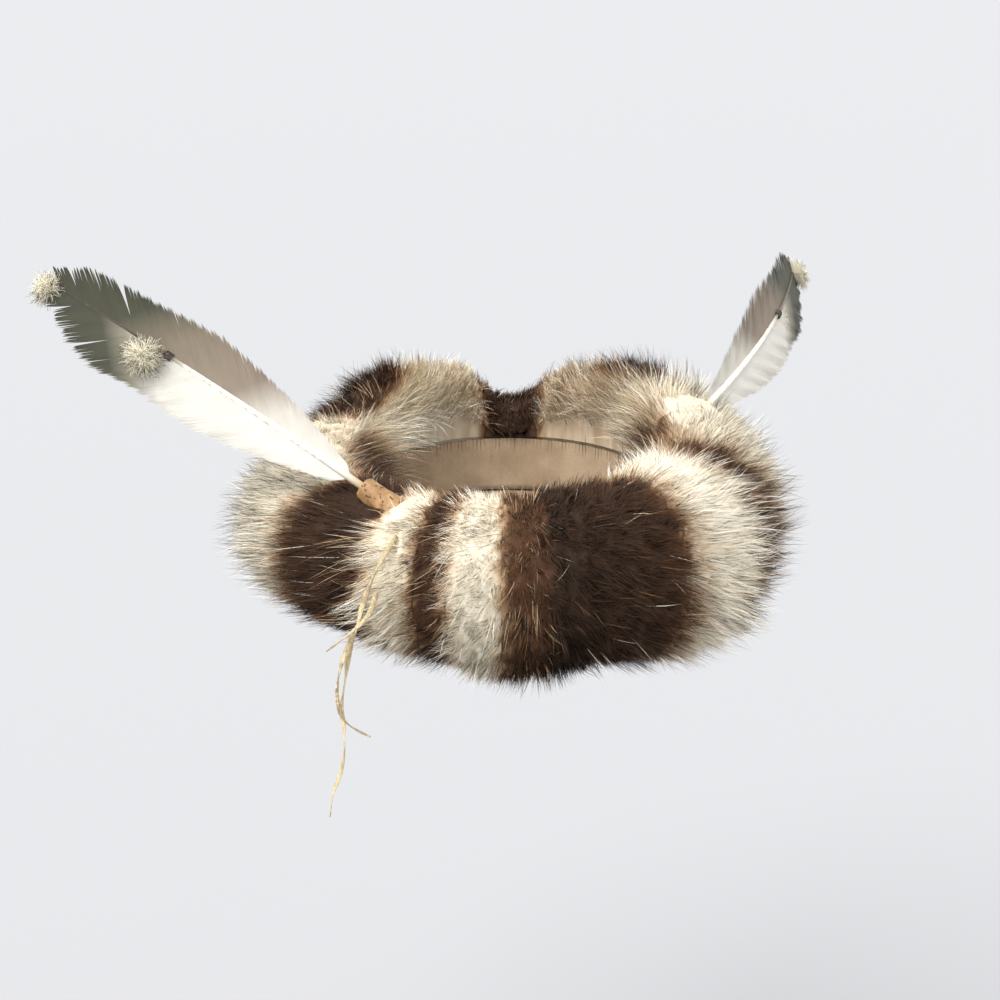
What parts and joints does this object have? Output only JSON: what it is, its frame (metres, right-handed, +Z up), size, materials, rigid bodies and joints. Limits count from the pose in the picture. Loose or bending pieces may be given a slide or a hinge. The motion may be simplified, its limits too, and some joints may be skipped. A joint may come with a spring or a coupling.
{
  "type": "feathered fur headdress",
  "caption": "Ring headdress: a folded hide band covered in deep striped fur, with two long feathers in bone sockets and hanging raffia ties.",
  "frame": {"origin": "middle of the head opening at the ring's mean height, where the headdress sits on the head", "axes": "+Z up; -Y towards the side with the raffia ties; -X towards the feather beside the ties"},
  "size_m": [0.4384, 0.3869, 0.2803],
  "materials": {
    "hide": "tanned hide, bare flesh side, matt",
    "cream_fur": "deep cream pelt hair",
    "brown_fur": "deep dark brown pelt hair",
    "grey_fur": "cream pelt hair with dark tips",
    "bone": "golden brown pitted bone or antler, part polished",
    "feather": "white vaned feather with a grey green tip",
    "down": "pale yellow down",
    "thread": "dark binding thread",
    "raffia": "dry straw coloured plant fibre"
  },
  "bodies": {
    "root": {"hide_band": "hide", "fur_right_cream": "cream_fur", "fur_back_right_cream": "cream_fur", "fur_back_right_brown": "brown_fur", "fur_back_right_grey": "grey_fur", "fur_back_brown": "brown_fur", "fur_back_left_cream": "cream_fur", "fur_back_left_brown": "brown_fur", "fur_left_cream": "grey_fur", "fur_front_left_brown": "brown_fur", "fur_front_cream_stripe": "cream_fur", "fur_front_dark_stripe": "brown_fur", "fur_front_cream": "cream_fur", "fur_front_brown": "brown_fur", "fur_front_right_cream": "cream_fur", "fur_right_brown": "brown_fur", "socket_left": "bone", "socket_right": "bone", "feather_left": "feather", "feather_right": "feather", "wrap_left": "thread", "wrap_right": "thread", "down_middle_left": "down", "down_tip_left": "down", "down_middle_right": "down", "down_tip_right": "down", "raffia_long": "raffia", "raffia_side": "raffia", "raffia_short": "raffia"}
  },
  "joints": []
}
